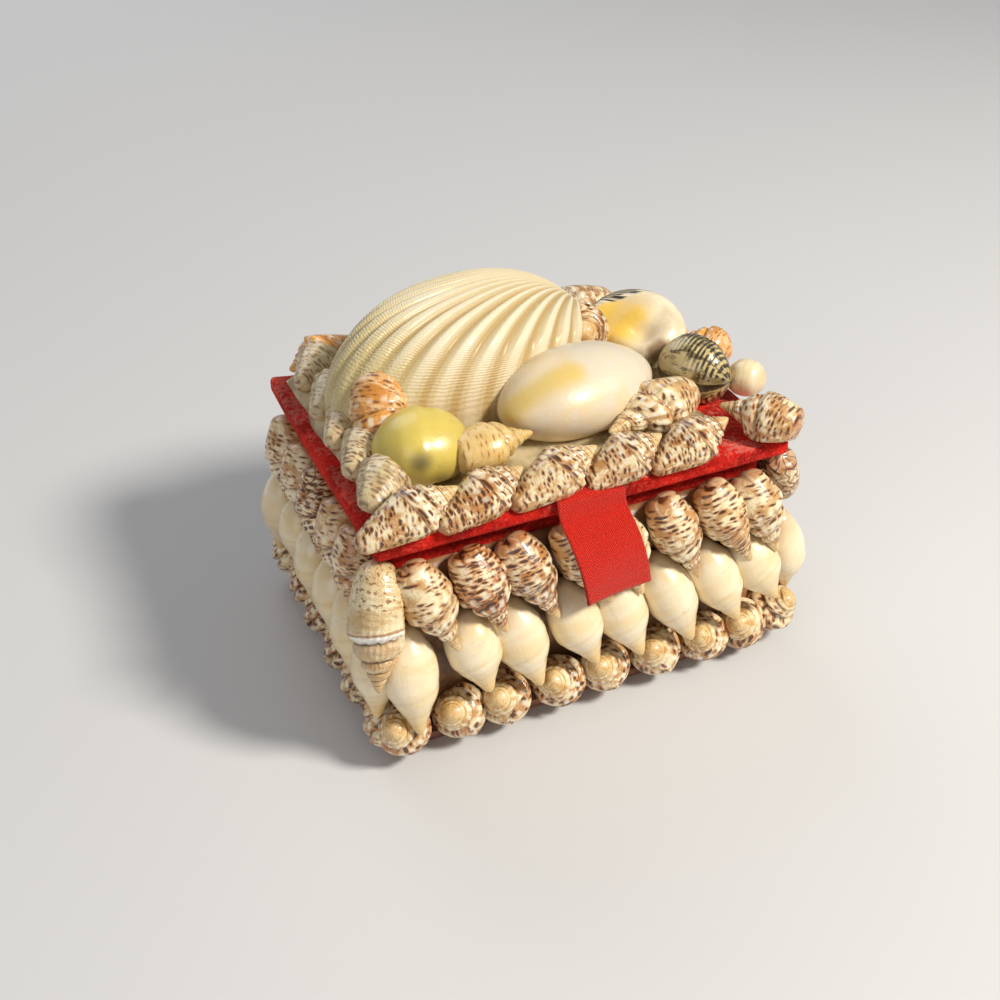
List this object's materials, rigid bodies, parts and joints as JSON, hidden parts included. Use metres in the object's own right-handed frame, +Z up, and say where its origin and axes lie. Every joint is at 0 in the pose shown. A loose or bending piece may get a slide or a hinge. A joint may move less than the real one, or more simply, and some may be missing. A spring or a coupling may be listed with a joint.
{
  "type": "shell box",
  "caption": "Small lidded card box covered in red velvet, dressed all over in glued sea shells, with a ribbed ark shell on its lid and a satin ribbon pull.",
  "frame": {"origin": "middle of the base board's underside", "axes": "+X along the front to the right, +Y from the front to the back, +Z up"},
  "size_m": [0.1133, 0.0924, 0.0862],
  "materials": {
    "card": "bare brownish pink card, matt",
    "velvet": "red cotton velvet with a short fuzzy pile",
    "satin_ribbon": "red polyester satin with a fine diagonal weave",
    "speckled_shell": "glossy tan shell with dark brown dashes and dots",
    "white_shell": "glossy cream white shell",
    "orange_shell": "glossy orange brown shell with a paler band",
    "yellow_shell": "glossy pale yellow shell",
    "dark_shell": "dark ribbed shell with cream streaks",
    "pink_shell": "dull pinkish brown shell"
  },
  "bodies": {
    "root": {"base_board": "card", "velvet_tray": "velvet", "lid_board": "velvet", "ribbon_pull": "satin_ribbon", "front_bottom_shells": "speckled_shell", "front_middle_shells": "white_shell", "front_top_shells": "speckled_shell", "left_bottom_shells": "speckled_shell", "left_middle_shells": "white_shell", "left_top_shells": "speckled_shell", "right_bottom_shells": "speckled_shell", "right_middle_shells": "white_shell", "right_top_shells": "speckled_shell", "back_bottom_shells": "speckled_shell", "back_middle_shells": "white_shell", "back_top_shells": "speckled_shell", "front_rim_shell_1": "speckled_shell", "front_rim_shell_2": "speckled_shell", "front_rim_shell_3": "speckled_shell", "front_rim_shell_4": "speckled_shell", "front_rim_shell_5": "speckled_shell", "left_rim_shell_1": "speckled_shell", "left_rim_shell_2": "speckled_shell", "left_rim_shell_3": "speckled_shell", "left_rim_shell_4": "speckled_shell", "left_rim_shell_5": "speckled_shell", "right_rim_shell_1": "speckled_shell", "right_rim_shell_2": "white_shell", "right_rim_shell_3": "orange_shell", "right_rim_shell_4": "speckled_shell", "back_rim_shell_1": "orange_shell", "back_rim_shell_2": "speckled_shell", "back_rim_shell_3": "speckled_shell", "back_rim_shell_4": "speckled_shell", "back_rim_shell_5": "pink_shell", "leaning_dove_shell": "orange_shell", "upright_dove_shell": "speckled_shell", "ark_shell": "white_shell", "moon_shell": "white_shell", "yellow_cowrie": "yellow_shell", "gaping_nerite": "yellow_shell", "ribbed_nerite": "dark_shell", "cream_dove_shell": "speckled_shell", "small_cream_shell": "white_shell"}
  },
  "joints": []
}
